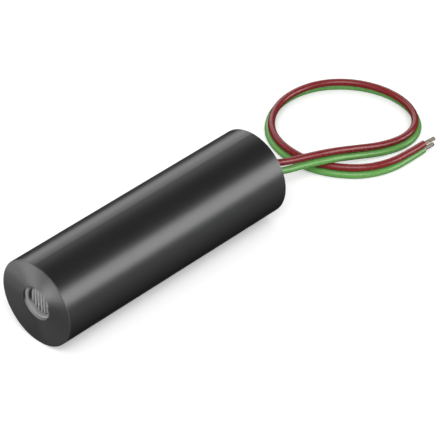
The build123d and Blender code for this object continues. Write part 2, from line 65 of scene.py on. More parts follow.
# %% Measure the barrel
mm = 0.001
barrel_low, barrel_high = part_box("housing")
front_x = barrel_high[0]
rear_x = barrel_low[0]
barrel_radius = (barrel_high[2] - barrel_low[2]) / 2
axis_height = (barrel_high[2] + barrel_low[2]) / 2
print("barrel", round((front_x - rear_x) / mm, 2), "long and", round(2 * barrel_radius / mm, 2), "across")

# %% [markdown]
# ## Camera
# The photograph is a long-lens picture from the front right, a little over a third of the way up. A camera
# is easiest to get right from the object's own known lines, so its angles and distance were solved from
# the barrel's outline first. It looks at a point beside the barrel, because the object sits left of centre.

# %% Place the camera
camera_azimuth = math.radians(133.8589)
camera_elevation = math.radians(36.7407)
camera_distance = 403.413 * mm
camera_right_shift = 10.666 * mm
camera_up_shift = 2.1986 * mm
camera_lens = 223.574
camera_sensor = 36


def linked(name, data):
    """A new object of the scene."""
    piece = bpy.data.objects.new(name, data)
    bpy.context.scene.collection.objects.link(piece)
    return piece


camera_data = bpy.data.cameras.new("camera")
camera_data.sensor_width = camera_sensor
camera_data.lens = camera_lens
camera_data.clip_start = 10 * mm
camera_data.clip_end = 20000 * mm
camera = linked("camera", camera_data)
back = Vector((
    math.sin(camera_azimuth) * math.cos(camera_elevation),
    -math.cos(camera_azimuth) * math.cos(camera_elevation),
    math.sin(camera_elevation),
))
right = Vector((0, 0, 1)).cross(back).normalized()
up = back.cross(right)
aim = Vector((0, 0, axis_height)) + right * camera_right_shift + up * camera_up_shift
turn = Matrix((right, up, back)).transposed().to_4x4()
camera.matrix_world = Matrix.Translation(aim + back * camera_distance) @ turn
bpy.context.scene.camera = camera
print("camera at", [round(value / mm, 1) for value in camera.matrix_world.translation])

# %% [markdown]
# ## The two leads
# On the real module the leads are soft stranded wires in PVC, 1.15 mm across. They leave the potted rear one
# above the other, stay together, and are long enough to be seen from end to end.
# Two separate routes would soon drift apart or cut into each other. One route for the middle of the pair
# keeps them together: each row gives a place behind the rear face, and how far the pair is turned out of the
# upright. While it drops, a row also gives its height and half the rise from lead to lead. On the floor both
# follow from the leads' radius.

# %% Points of the pair
lead_radius = 0.575 * mm
pair_half_gap = 0.59 * mm
drop_route = [
    (-6.2, 0.4, 4.65, 0.7, 0.15),
    (-10.6, 1.3, 4.03, 0.6, 0.16),
    (-15.0, 2.8, 3.6, 0.6, 0.16),
    (-19.6, 3.8, 2.3, 0.6, 0.16),
]
floor_route = [
    (-24.3, 5.1, 0.2),
    (-28.4, 6.4, 0.24),
    (-32.2, 5.7, 0.24),
    (-35.0, 3.2, 0.24),
    (-36.7, -0.3, 0.26),
    (-37.1, -4.6, 0.28),
    (-35.9, -8.8, 0.26),
    (-33.4, -12.3, 0.24),
    (-29.9, -14.7, 0.27),
    (-25.6, -15.6, 0.3),
    (-21.2, -14.9, 0.29),
    (-17.1, -12.5, 0.26),
    (-14.4, -9.1, 0.22),
    (-13.2, -4.9, 0.2),
    (-13.3, -0.3, 0.18),
    (-14.8, 3.55, 0.18),
    (-17.65, 7.08, 0.18),
    (-21.7, 9.1, 0.1),
    (-26.0, 9.5, 0),
    (-29.4, 9.5, -0.05),
]


def pair_points():
    """The middle of the pair at each point, with half the rise and half the lean from lead to lead."""
    points = []
    for x, y, z, half_rise, half_lean in drop_route:
        points.append((Vector((rear_x + x * mm, y * mm, z * mm)), half_rise * mm, half_lean * mm))
    for x, y, half_lean in floor_route:
        half_rise = math.sqrt(pair_half_gap ** 2 - (half_lean * mm) ** 2)
        middle = Vector((rear_x + x * mm, y * mm, lead_radius + half_rise))
        points.append((middle, half_rise, half_lean * mm))
    return points


pair = pair_points()
print("pair:", len(pair), "points behind the rear face")

# %% [markdown]
# ### One lead from the pair
# Each lead starts inside the resin, at its own height, with a short straight run out of it. From there on it
# keeps half a gap above or below the middle of the pair, and leans to one side of the way that the pair is
# heading. The red lead is the upper one.

# %% Points of each lead
exit_x = rear_x + 0.6 * mm
exit_run = 2.9 * mm
exit_rises = {1: 0.35 * mm, -1: -1.35 * mm}


def lead_points(side):
    """One lead's control points: side 1 is the red lead, on top, and -1 the green one."""
    height = axis_height + exit_rises[side]
    points = [Vector((exit_x, 0, height)), Vector((exit_x - exit_run, 0, height))]
    for index, (middle, half_rise, half_lean) in enumerate(pair):
        before = pair[index - 1][0] if index > 0 else Vector((rear_x, 0, middle.z))
        after = pair[index + 1][0] if index < len(pair) - 1 else middle * 2 - before
        arriving = Vector((middle.x - before.x, middle.y - before.y, 0)).normalized()
        leaving = Vector((after.x - middle.x, after.y - middle.y, 0)).normalized()
        heading = (arriving + leaving).normalized()
        step = side * half_lean / heading.dot(arriving)
        sideways = Vector((-heading.y, heading.x, 0)) * step
        points.append(middle + sideways + Vector((0, 0, side * half_rise)))
    return points


lead_routes = {"red": lead_points(1), "green": lead_points(-1)}
print("control points:", {colour: len(points) for colour, points in lead_routes.items()})

# %% [markdown]
# ### Round wire on a smooth line
# A wire like this could be a mesh tube, but a NURBS spline with a round bevel bends as smoothly as the wire
# does, and its points are the same few that the model's tubes follow.
# A curve's thickness is its bevel times the radius of each point. Blender adds that radius to the curve's
# box, so the points are given the wire's own radius and the bevel is one, not the other way round.

# %% Lay each lead on its spline
bevel_rings = 8
spline_steps = 16


def lead_curve(name, points):
    """An open NURBS spline through the route. Each point carries the lead's radius, for a bevel of one."""
    curve = bpy.data.curves.new(name, "CURVE")
    curve.dimensions = "3D"
    curve.bevel_depth = 1
    curve.bevel_resolution = bevel_rings
    curve.resolution_u = spline_steps
    curve.use_fill_caps = True
    spline = curve.splines.new("NURBS")
    spline.points.add(len(points) - 1)
    for point, place in zip(spline.points, points):
        point.co = (*place, 1)
        point.radius = lead_radius
    spline.order_u = 3
    spline.use_endpoint_u = True
    return linked(name, curve)


leads = {colour: lead_curve(colour + "_lead_wire", points) for colour, points in lead_routes.items()}
for colour, lead in leads.items():
    print(colour, "lead", round(lead.data.splines[0].calc_length() / mm, 1), "mm long")

# %% [markdown]
# ## Bare tinned ends
# Each lead is stripped at its far end. Inside are seven strands, laid in a long twist and dipped in tin.
# A smooth rod would do from far away. Seven thin wires read better, and each is one circle spun along the
# lead's line: spin with a step along its axis draws the twist by itself.

# %% Spin a strand
strand_radius = 0.115 * mm
strand_offset = 0.21 * mm
strand_count = 6
strand_turn = math.radians(250)
strand_steps = 30
strand_sides = 12
bare_length = 2.3 * mm
bare_overlap = 0.3 * mm


def spin_strand(work, index):
    """One strand along X: the six outer ones twist, and the last one is the straight middle."""
    offset = strand_offset if index < strand_count else 0
    around = Matrix.Rotation(math.tau * index / strand_count, 4, "X")
    place = around @ Matrix.Translation((0, offset, 0)) @ Matrix.Rotation(math.pi / 2, 4, "Y")
    ring = bmesh.ops.create_circle(
        work, cap_ends=True, radius=strand_radius, segments=strand_sides, matrix=place,
    )
    faces = list({face for vertex in ring["verts"] for face in vertex.link_faces})
    bmesh.ops.spin(
        work, geom=ring["verts"] + faces, cent=(0, 0, 0), axis=(1, 0, 0),
        dvec=((bare_length + bare_overlap) / strand_steps, 0, 0), angle=strand_turn, steps=strand_steps,
        use_merge=False, use_normal_flip=False, use_duplicate=False,
    )


bundle_width = 2 * (strand_offset + strand_radius)
print("bundle", round(bundle_width / mm, 2), "mm across")

# %% [markdown]
# ### Bend the bundle
# Handling has bent the bundle a little where the insulation stops. One sharp knee would pinch the strands, so
# it is turned in a few small steps. Then it is laid on the end of its lead, a little way into the insulation,
# so that no gap shows.

# %% Bend the strands and lay them on the leads
bend_angle = math.radians(-5)
bend_steps = 6
bend_share = 0.4


def finished_mesh(name, work):
    """The piece that a bmesh has become, smooth on its four-sided faces."""
    bmesh.ops.recalc_face_normals(work, faces=work.faces)
    mesh = bpy.data.meshes.new(name)
    work.to_mesh(mesh)
    work.free()
    for polygon in mesh.polygons:
        polygon.use_smooth = len(polygon.vertices) == 4
    return linked(name, mesh)


def twisted_strands(name, start, heading):
    """A middle strand and six round it along heading, bent a little near the insulation."""
    work = bmesh.new()
    for index in range(strand_count + 1):
        spin_strand(work, index)
    for step in range(bend_steps):
        knee = bare_overlap + bare_length * bend_share * (step + 1) / bend_steps
        bmesh.ops.rotate(
            work, verts=[vertex for vertex in work.verts if vertex.co.x > knee], cent=(knee, 0, 0),
            matrix=Matrix.Rotation(bend_angle / bend_steps, 3, "Z"),
        )
    side = Vector((0, 0, 1)).cross(heading).normalized()
    turn = Matrix((heading, side, heading.cross(side))).transposed().to_4x4()
    bmesh.ops.transform(
        work, verts=work.verts, matrix=Matrix.Translation(start - heading * bare_overlap) @ turn,
    )
    return finished_mesh(name, work)


bare_ends = {}
for colour, points in lead_routes.items():
    heading = (points[-1] - points[-2]).normalized()
    bare_ends[colour] = twisted_strands(colour + "_lead_strands", points[-1], heading)
    print(colour, "strands:", len(bare_ends[colour].data.polygons), "faces")

# %% [markdown]
# ## Resin collars
# Potting resin wets whatever passes through it, so it climbs a little way up each lead and leaves a small
# hollow-sided collar there.
# A collar could be sculpted, but its section is just a quarter arc. One vertex spun a quarter turn draws the
# arc, three more close the section behind it, and a full spin round the lead makes the collar.

# %% Draw the collars
collar_radius = 0.25 * mm
collar_root = 0.1 * mm
arc_steps = 6
collar_steps = 40


def add_collar(work, lead_axis):
    """A quarter-arc section above a lead's axis, closed behind and spun round that axis."""
    rim = lead_radius + collar_radius
    first = work.verts.new(lead_axis + Vector((0, 0, rim)))
    arc = bmesh.ops.spin(
        work, geom=[first], cent=lead_axis + Vector((-collar_radius, 0, rim)), axis=(0, 1, 0),
        angle=math.pi / 2, steps=arc_steps, use_merge=False, use_duplicate=False,
    )
    last = next(item for item in arc["geom_last"] if isinstance(item, bmesh.types.BMVert))
    corners = [
        work.verts.new(last.co - Vector((0, 0, collar_root))),
        work.verts.new(lead_axis + Vector((collar_root, 0, lead_radius - collar_root))),
        work.verts.new(first.co + Vector((collar_root, 0, 0))),
    ]
    for near, far in zip([last] + corners, corners + [first]):
        work.edges.new((near, far))
    section = [edge for edge in work.edges if not edge.link_faces]
    bmesh.ops.spin(
        work, geom=section, cent=lead_axis, axis=(1, 0, 0),
        angle=math.tau, steps=collar_steps, use_merge=True, use_duplicate=False,
    )


work = bmesh.new()
for rise in exit_rises.values():
    add_collar(work, Vector((exit_x, 0, axis_height + rise)))
open_edges = sum(1 for edge in work.edges if len(edge.link_faces) != 2)
resin_collars = finished_mesh("resin_collars", work)
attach(resin_collars, "root")
print("collars:", len(resin_collars.data.polygons), "faces, open edges:", open_edges)

# %% [markdown]
# ## What the new pieces stand for
# Each lead here takes the place of one tube of the model, and its strands that of the plain rod at its end. So
# those pieces of the model are hidden, and the new ones hang from the same root. The lengths are those of the
# model's tubes. A spline cuts inside its own points, so it comes out a few tenths of a millimetre shorter, and
# that is near enough for the same wire.

# %% Put the leads and their ends in place of the model's pieces
for colour, lead in leads.items():
    strands = bare_ends[colour]
    for piece, node, slot_name in (
        (lead, colour + "_lead", colour + "_insulation"),
        (strands, colour + "_lead_bare_end", "tinned_copper"),
    ):
        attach(piece, "root")
        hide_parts(node)
    print(lead.name, "and", strands.name, "handed over")

# %% [markdown]
# ## Materials
# Every finish here is one Principled shader with small node patterns in front of it. Nodes could be placed
# and linked one by one. A few helpers that take numbers or sockets alike keep each finish short enough to
# read as a recipe. The first ones start a material and carry numbers and colours through it.

# %% Helpers for numbers and colours
def new_material(name):
    """A material with one Principled shader."""
    material = bpy.data.materials.new(name)
    material.use_nodes = True
    return material, material.node_tree, material.node_tree.nodes["Principled BSDF"]


def feed(tree, socket, value):
    """Link a socket to another, or set it to a number or colour."""
    if isinstance(value, bpy.types.NodeSocket):
        tree.links.new(value, socket)
    else:
        socket.default_value = value


def shape(tree, operation, *values):
    """The result of a Math node."""
    node = tree.nodes.new("ShaderNodeMath")
    node.operation = operation
    for socket, value in zip(node.inputs, values):
        feed(tree, socket, value)
    return node.outputs[0]


def ramp(tree, value, low, high, to_low=0.0, to_high=1.0):
    """A value carried from one range to another, clamped."""
    node = tree.nodes.new("ShaderNodeMapRange")
    for socket, number in zip(node.inputs, (value, low, high, to_low, to_high)):
        feed(tree, socket, number)
    return node.outputs["Result"]


def blend(tree, factor, first, second):
    """A colour between two colours."""
    node = tree.nodes.new("ShaderNodeMix")
    node.data_type = "RGBA"
    for name, value in (("Factor_Float", factor), ("A_Color", first), ("B_Color", second)):
        socket = next(socket for socket in node.inputs if socket.identifier == name)
        feed(tree, socket, value)
    return next(socket for socket in node.outputs if socket.identifier == "Result_Color")


# %% [markdown]
# ### Patterns that stay on their piece
# A pattern could follow the camera or a flat picture, but a turned part's marks run round its own axis. So
# all patterns read Object coordinates, and look the same on the piece from every side. The barrel's axis is
# the X axis, raised to half its diameter, and the distance from it is Pythagoras' rule in Y and Z.

# %% Helpers for places and relief
def object_place(tree):
    """The place on the object itself."""
    return tree.nodes.new("ShaderNodeTexCoord").outputs["Object"]


def axes(tree, place):
    """X, Y and Z of a place, by name."""
    node = tree.nodes.new("ShaderNodeSeparateXYZ")
    feed(tree, node.inputs[0], place)
    return node.outputs


def from_axis(tree, at):
    """Distance from the barrel's axis."""
    above = shape(tree, "SUBTRACT", at["Z"], axis_height)
    across_squared = shape(tree, "MULTIPLY", at["Y"], at["Y"])
    above_squared = shape(tree, "MULTIPLY", above, above)
    return shape(tree, "SQRT", shape(tree, "ADD", across_squared, above_squared))


def speckle(tree, place, scale, detail=3.0, rough=0.55):
    """A noise pattern."""
    node = tree.nodes.new("ShaderNodeTexNoise")
    feed(tree, node.inputs["Vector"], place)
    feed(tree, node.inputs["Scale"], scale)
    node.inputs["Detail"].default_value = detail
    node.inputs["Roughness"].default_value = rough
    return node.outputs["Fac"]


def dent(tree, height, depth, under=None):
    """A bump normal, on top of another where one is given."""
    node = tree.nodes.new("ShaderNodeBump")
    node.inputs["Strength"].default_value = 1
    node.inputs["Distance"].default_value = depth
    feed(tree, node.inputs["Height"], height)
    if under is not None:
        feed(tree, node.inputs["Normal"], under)
    return node.outputs["Normal"]


# %% [markdown]
# ### Fine grain
# Fine grain is the unevenness of any real surface: its tone, gloss and height wander a little. It could be
# built anew in each finish, but it is the same few nodes every time. A node group holds them once, and each
# finish places it with its own values. Noise rarely leaves the middle of its range, so the part from 0.3 to
# 0.7 is stretched into a swing from -1 to 1.

# %% Build the grain group
noise_low, noise_high = 0.3, 0.7
broad_share = 0.09


def new_group(name, inputs, outputs):
    """A node group with float inputs and float outputs, and its two end nodes."""
    group = bpy.data.node_groups.new(name, "ShaderNodeTree")
    for label, value in inputs.items():
        socket = group.interface.new_socket(name=label, in_out="INPUT", socket_type="NodeSocketFloat")
        socket.default_value = value
    for label in outputs:
        group.interface.new_socket(name=label, in_out="OUTPUT", socket_type="NodeSocketFloat")
    return group, group.nodes.new("NodeGroupInput").outputs, group.nodes.new("NodeGroupOutput").inputs


def swing(tree, noise):
    """Noise stretched to run from -1 to 1."""
    return ramp(tree, noise, noise_low, noise_high, -1.0, 1.0)


def build_fine_grain():
    """Tone near 1, gloss offset near 0 and height, from a fine pattern and a broad one."""
    group, given, result = new_group(
        "fine grain", {"Scale": 2000, "Tone Change": 0.08, "Gloss Change": 0.03}, ("Tone", "Gloss", "Height"),
    )
    place = object_place(group)
    fine = speckle(group, place, given["Scale"])
    broad = speckle(group, place, shape(group, "MULTIPLY", given["Scale"], broad_share), detail=2.0)
    fine_swing = swing(group, fine)
    both = shape(group, "ADD", fine_swing, swing(group, broad))
    feed(group, result["Tone"], shape(group, "MULTIPLY_ADD", fine_swing, given["Tone Change"], 1.0))
    feed(group, result["Gloss"], shape(group, "MULTIPLY", both, given["Gloss Change"]))
    feed(group, result["Height"], fine)
    return group


shared_groups = {"fine grain": build_fine_grain()}
print("fine grain:", len(shared_groups["fine grain"].nodes), "nodes")

# %% [markdown]
# ### Turned marks
# Turned marks are the hair-fine rings that a lathe tool leaves, on the barrel as on every ring and mount
# inside it. Rings of equal width would look printed. Noise that reads only the place along the axis and the
# distance from it gives rings of uneven width and strength, on the sides and on the ends alike.

# %% Build the turned marks and place a group
def build_turned_marks():
    """Tone near 1 and height of rings round the barrel's axis."""
    group, given, result = new_group(
        "turned marks", {"Spacing": 0.1 * mm, "Tone Change": 0.05}, ("Tone", "Height"),
    )
    at = axes(group, object_place(group))
    lathe = group.nodes.new("ShaderNodeCombineXYZ")
    feed(group, lathe.inputs["X"], shape(group, "DIVIDE", at["X"], given["Spacing"]))
    feed(group, lathe.inputs["Y"], shape(group, "DIVIDE", from_axis(group, at), given["Spacing"]))
    rings = speckle(group, lathe.outputs[0], 1.0, detail=2.0, rough=0.7)
    feed(group, result["Tone"], shape(group, "MULTIPLY_ADD", swing(group, rings), given["Tone Change"], 1.0))
    feed(group, result["Height"], rings)
    return group


def effect(tree, name, **values):
    """A shared group placed in a material, with its own values."""
    node = tree.nodes.new("ShaderNodeGroup")
    node.node_tree = shared_groups[name]
    for key, value in values.items():
        node.inputs[key.replace("_", " ")].default_value = value
    return node.outputs


def toned(tree, colour, *tones):
    """A colour made lighter or darker by each tone in turn."""
    tone = tones[0]
    for other in tones[1:]:
        tone = shape(tree, "MULTIPLY", tone, other)
    node = tree.nodes.new("ShaderNodeVectorMath")
    node.operation = "SCALE"
    feed(tree, node.inputs[0], colour if isinstance(colour, bpy.types.NodeSocket) else colour[:3])
    feed(tree, node.inputs["Scale"], tone)
    return node.outputs[0]


shared_groups["turned marks"] = build_turned_marks()
print("shared effects:", ", ".join(shared_groups))

# %% [markdown]
# ### Black barrel
# The barrel is turned aluminium, anodised black. It has almost no colour of its own, and a satin gloss draws
# the lights out into long soft bands. Its front was faced off from the rim inwards, so it catches the light as
# a very flat cone would. The sharp rims are paler, where anodising is thin, and the short bore of the aperture
# was cut last and is bare, with painted shade that darkens it towards the top.
# The cone could be modelled, but it is too flat to see as a shape. A height that falls with the distance
# from the axis tilts the light alone, and it is kept to the two ends.

# %% Find the rims, the bore and the crown of the ends
bore_radius = 2.75 * mm
rim_width = 0.2 * mm
rim_reach = 0.12 * mm
face_skin = 0.05 * mm
lip_start, lip_end = 0.07 * mm, 0.11 * mm
wall_near, wall_far = 0.01 * mm, 0.03 * mm
crown_slope = 0.35
rim_slope = 0.7


def on_wall(tree, radius, wall_radius):
    """1 on the wall of a bore and 0 beside it."""
    return ramp(tree, radius, wall_radius + wall_far, wall_radius + wall_near)


def rims_and_bore(tree, at, radius):
    """How far a place is on the sharp rims of the ends, and how far in the aperture's short bore."""
    near_end = ramp(tree, shape(tree, "ABSOLUTE", at["X"]), front_x - rim_reach, front_x - face_skin)
    near_side = ramp(tree, radius, barrel_radius - rim_width, barrel_radius - 0.5 * rim_width)
    rim = shape(tree, "MULTIPLY", near_end, near_side)
    past_lip = ramp(tree, at["X"], front_x - lip_start, front_x - lip_end)
    return rim, shape(tree, "MULTIPLY", on_wall(tree, radius, bore_radius), past_lip)


def end_crown(tree, at, radius):
    """The height of the two ends in metres: a very flat cone that falls off faster at the rim."""
    inside = shape(tree, "SUBTRACT", barrel_radius, radius)
    in_rim = shape(tree, "SUBTRACT", rim_width, shape(tree, "MINIMUM", inside, rim_width))
    cone = shape(tree, "MULTIPLY", inside, crown_slope)
    crown = shape(tree, "SUBTRACT", cone, shape(tree, "MULTIPLY", in_rim, rim_slope))
    on_end = shape(tree, "GREATER_THAN", shape(tree, "ABSOLUTE", at["X"]), front_x - face_skin)
    return shape(tree, "MULTIPLY", crown, on_end)


print("rims", round(rim_width / mm, 2), "wide, bore", round(2 * bore_radius / mm, 2), "across")

# %% [markdown]
# ### The barrel's colour, gloss and relief
# With those places known, the finish itself is short. The bore's floor faces up to the light and its roof
# doesn't. A lamp inside the bore would show that too, but it would light the ring as well, so painted shade
# shows it instead: the bore's tone falls with the height.

# %% Black barrel finish
anodised_black = (0.0115, 0.0115, 0.0119, 1)
thin_grey = (0.11, 0.11, 0.11, 1)
# Painted shade in the bore: a lit grey at the bottom and a shaded grey at the top.
bore_shade_heights = (axis_height - 1.1 * mm, axis_height - 0.4 * mm)
bore_lit_and_shaded_greys = (0.27, 0.02)
rim_metal, bore_metal = 0.9, 0.3
barrel_rough = 0.31
mark_depth = 0.0006 * mm
grain_depth = 0.001 * mm


def black_barrel():
    """Satin black anodising on a turned barrel, with paler rims and a bare bore at the aperture that painted
    shade darkens towards the top.
    """
    material, tree, shader = new_material("black anodised barrel")
    grain = effect(tree, "fine grain", Scale=2600, Tone_Change=0.05, Gloss_Change=0.012)
    marks = effect(tree, "turned marks", Spacing=0.12 * mm, Tone_Change=0.04)
    at = axes(tree, object_place(tree))
    radius = from_axis(tree, at)
    rim, bore = rims_and_bore(tree, at, radius)
    # Painted shade: the bore's tone falls with the height.
    bore_painted_shade = ramp(tree, at["Z"], *bore_shade_heights, *bore_lit_and_shaded_greys)
    colour = blend(tree, bore, blend(tree, rim, anodised_black, thin_grey), bore_painted_shade)
    bare_rim = shape(tree, "MULTIPLY", rim, rim_metal)
    bare_bore = shape(tree, "MULTIPLY", bore, bore_metal)
    cone = dent(tree, end_crown(tree, at, radius), 1.0)
    turned = dent(tree, marks["Height"], mark_depth, cone)
    feed(tree, shader.inputs["Base Color"], toned(tree, colour, grain["Tone"], marks["Tone"]))
    feed(tree, shader.inputs["Roughness"], shape(tree, "ADD", grain["Gloss"], barrel_rough))
    feed(tree, shader.inputs["Metallic"], shape(tree, "MAXIMUM", bare_rim, bare_bore))
    feed(tree, shader.inputs["Normal"], dent(tree, grain["Height"], grain_depth, turned))
    return material


finishes = {"black_barrel": black_barrel()}
print(finishes["black_barrel"].name, "has", len(finishes["black_barrel"].node_tree.nodes), "nodes")

# %% [markdown]
# ### Satin ring
# Inside the aperture a turned ring frames the line lens. The ring is blasted aluminium, so it is between matt
# and metal. Its outer edge lies in the corner under the lip and gets painted shade, which fades out to the
# left, and so does the upper part of its opening's wall, which never faces the light. A painted shadow of the
# lip also darkens the side of its face that is nearest the light, up and to the right.
# The renderer finds such shadows by itself, but the lip is too small for them to come out clean in so few
# pixels. Ramps laid on the ring by height and radius put them where the photograph has them.

# %% Satin ring finish
ring_opening_radius = 2.15 * mm
bevel_start, bevel_end = ring_opening_radius + 0.13 * mm, ring_opening_radius + 0.16 * mm
# Painted shade: the corner under the lip, the lip's shadow on the face and the upper wall are drawn into the
# ring's greys.
corner_shade_start, corner_shade_end = 2.61 * mm, 2.64 * mm
corner_shade_fade = (-1.6 * mm, 1.0 * mm)
lip_shade_up, lip_shade_right = 0.82, 0.57
lip_shadow_fade = (-0.6 * mm, 0.5 * mm)
face_lit_and_shaded_greys = (0.34, 0.06)
wall_shade_heights = (axis_height - 1.2 * mm, axis_height - 0.5 * mm)
wall_lit_and_shaded_greys = (0.3, 0.04)
bevel_grey = (0.16, 0.16, 0.16, 1)
corner_shade_grey = (0.07, 0.07, 0.07, 1)
ring_rough = 0.55
ring_metal = 0.4
ring_mark_depth = 0.002 * mm


def ring_shades(tree, at):
    """The greys of the ring's face and of its opening's wall, each from the lit part to the shaded one."""
    above = shape(tree, "MULTIPLY", shape(tree, "SUBTRACT", at["Z"], axis_height), lip_shade_up)
    towards_light = shape(tree, "ADD", above, shape(tree, "MULTIPLY", at["Y"], lip_shade_right))
    # Painted shadow of the lip: the face goes from its lit grey to a shaded grey up and to the right.
    face = ramp(tree, towards_light, *lip_shadow_fade, *face_lit_and_shaded_greys)
    return face, ramp(tree, at["Z"], *wall_shade_heights, *wall_lit_and_shaded_greys)


def satin_ring():
    """Blasted and turned aluminium, with painted shade where it meets the bore, on the upper part of its
    opening's wall and on the side of its face nearest the light.
    """
    material, tree, shader = new_material("satin ring")
    grain = effect(tree, "fine grain", Scale=6000, Tone_Change=0.08, Gloss_Change=0.04)
    marks = effect(tree, "turned marks", Spacing=0.06 * mm, Tone_Change=0.1)
    at = axes(tree, object_place(tree))
    radius = from_axis(tree, at)
    face, wall = ring_shades(tree, at)
    # Painted shade in the corner under the lip, fading out to the left.
    corner_shade = ramp(tree, radius, corner_shade_start, corner_shade_end)
    corner_shade = shape(tree, "MULTIPLY", corner_shade, ramp(tree, at["Y"], *corner_shade_fade))
    front = blend(tree, ramp(tree, radius, bevel_start, bevel_end), bevel_grey, face)
    colour = blend(tree, on_wall(tree, radius, ring_opening_radius), front, wall)
    colour = blend(tree, corner_shade, colour, corner_shade_grey)
    feed(tree, shader.inputs["Base Color"], toned(tree, colour, grain["Tone"], marks["Tone"]))
    feed(tree, shader.inputs["Roughness"], shape(tree, "ADD", grain["Gloss"], ring_rough))
    shader.inputs["Metallic"].default_value = ring_metal
    feed(tree, shader.inputs["Normal"], dent(tree, marks["Height"], ring_mark_depth))
    return material


finishes["mask_metal"] = satin_ring()
print(finishes["mask_metal"].name, "has", len(finishes["mask_metal"].node_tree.nodes), "nodes")

# %% [markdown]
# ### Ribbed lens
# The lens is clear plastic, but it doesn't look clear. Each upright rib gathers the light of the room along
# its crown, while its valleys show the dark inside, darkest at the bottom. Real refraction would need far more
# samples to show this. Painted light on the crowns and painted shade in the valleys, laid on the ribs by their
# own pitch, show it at once, and a little noise keeps them from looking ruled.

# %% Ribbed lens finish
rib_pitch = 0.6 * mm
# Painted light on the rib crowns, and painted shade in the valleys that darkens towards the bottom.
crown_light_fade = (-0.8, 0.9)
valley_shade_heights = (axis_height - 1.6 * mm, axis_height + 1.0 * mm)
crown_painted_light_grey = (0.45, 0.45, 0.455, 1)
valley_top_lit_grey = (0.34, 0.34, 0.345, 1)
valley_bottom_shade_grey = (0.02, 0.02, 0.021, 1)
patch_scale = 1500
patch_strength = 0.5
lens_rough = 0.2
lens_clear = 0.3
lens_ior = 1.49


def ribbed_lens():
    """Clear plastic with painted light on its rib crowns and painted shade in its valleys, a little uneven."""
    material, tree, shader = new_material("ribbed lens plastic")
    place = object_place(tree)
    at = axes(tree, place)
    wave = shape(tree, "COSINE", shape(tree, "MULTIPLY", at["Y"], math.tau / rib_pitch))
    noise = speckle(tree, place, patch_scale, detail=2.0)
    patches = ramp(tree, noise, 0.35, 0.65, -patch_strength, patch_strength)
    # Painted light along the crown of each rib.
    crown = ramp(tree, shape(tree, "ADD", wave, patches), *crown_light_fade)
    height = ramp(tree, at["Z"], *valley_shade_heights)
    painted_valley_shade = blend(tree, height, valley_bottom_shade_grey, valley_top_lit_grey)
    feed(tree, shader.inputs["Base Color"], blend(tree, crown, painted_valley_shade, crown_painted_light_grey))
    shader.inputs["Roughness"].default_value = lens_rough
    shader.inputs["Transmission Weight"].default_value = lens_clear
    shader.inputs["IOR"].default_value = lens_ior
    return material


finishes["lens_plastic"] = ribbed_lens()
print("ribs every", round(rib_pitch / mm, 2), "mm")

# %% [markdown]
# ### One recipe for the plain finishes
# Most other pieces are one material all over: a colour or two that mingle, some gloss, a fine grain, and
# turned marks on what comes off a lathe. A function for each would repeat itself. One recipe takes what
# differs as arguments, and its defaults are an ordinary dull surface.

# %% Recipe: one colour or two, grain and gloss
def plain_finish(name, colour, rough, second=None, metallic=0.0, scale=2000, depth=0.003 * mm, tone=0.08,
                 gloss=0.03, rings=0.0, clear=0.0, ior=1.5):
    """A finish of one or two mingled colours, with fine grain, and turned marks where rings isn't 0."""
    material, tree, shader = new_material(name)
    grain = effect(tree, "fine grain", Scale=scale, Tone_Change=tone, Gloss_Change=gloss)
    tones = [grain["Tone"]]
    normal = dent(tree, grain["Height"], depth)
    base = (*colour, 1)
    if second is not None:
        patches = ramp(tree, speckle(tree, object_place(tree), scale * 0.4), 0.4, 0.65)
        base = blend(tree, patches, base, (*second, 1))
    if rings:
        marks = effect(tree, "turned marks", Spacing=0.08 * mm, Tone_Change=rings)
        tones.append(marks["Tone"])
        normal = dent(tree, marks["Height"], 0.002 * mm, normal)
    feed(tree, shader.inputs["Base Color"], toned(tree, base, *tones))
    feed(tree, shader.inputs["Roughness"], shape(tree, "ADD", grain["Gloss"], rough))
    feed(tree, shader.inputs["Normal"], normal)
    shader.inputs["Metallic"].default_value = metallic
    shader.inputs["Transmission Weight"].default_value = clear
    shader.inputs["IOR"].default_value = ior
    return material


# %% [markdown]
# ### Leads, tinned wire and resin
# The insulation is soft PVC: full colour, a satin gloss, and a faint waviness from the extruder. The bare
# ends are copper under a thin, slightly dull coat of tin. The potting resin sets with a glossy skin that
# dips and rises a little, so it gets a broad height pattern rather than a fine one.

# %% Finishes of the leads and the resin
for slot_name, name, colour in (
    ("red_insulation", "red PVC", (0.185, 0.0135, 0.0155)),
    ("green_insulation", "green PVC", (0.12, 0.32, 0.075)),
):
    finishes[slot_name] = plain_finish(
        name, colour, 0.28, scale=1400, depth=0.002 * mm, tone=0.05, gloss=0.02, ior=1.42,
    )
finishes["tinned_copper"] = plain_finish(
    "tinned copper", (0.3, 0.29, 0.24), 0.38, second=(0.26, 0.21, 0.15), metallic=0.95, scale=2500,
)
finishes["potting_resin"] = plain_finish(
    "black resin", (0.012, 0.012, 0.012), 0.2, scale=500, depth=0.06 * mm,
)
print(len(finishes), "finishes for what shows")

# %% [markdown]
# ### Inside the barrel
# Nothing in here shows in the portrait, but the model can be opened, so each piece is dressed as the real one
# is: turned brass and blackened aluminium, a gold plated diode under a nickel can, solder, moulded parts and
# an amber film round them. The metals differ only in colours, gloss and turned marks, so a table serves them.

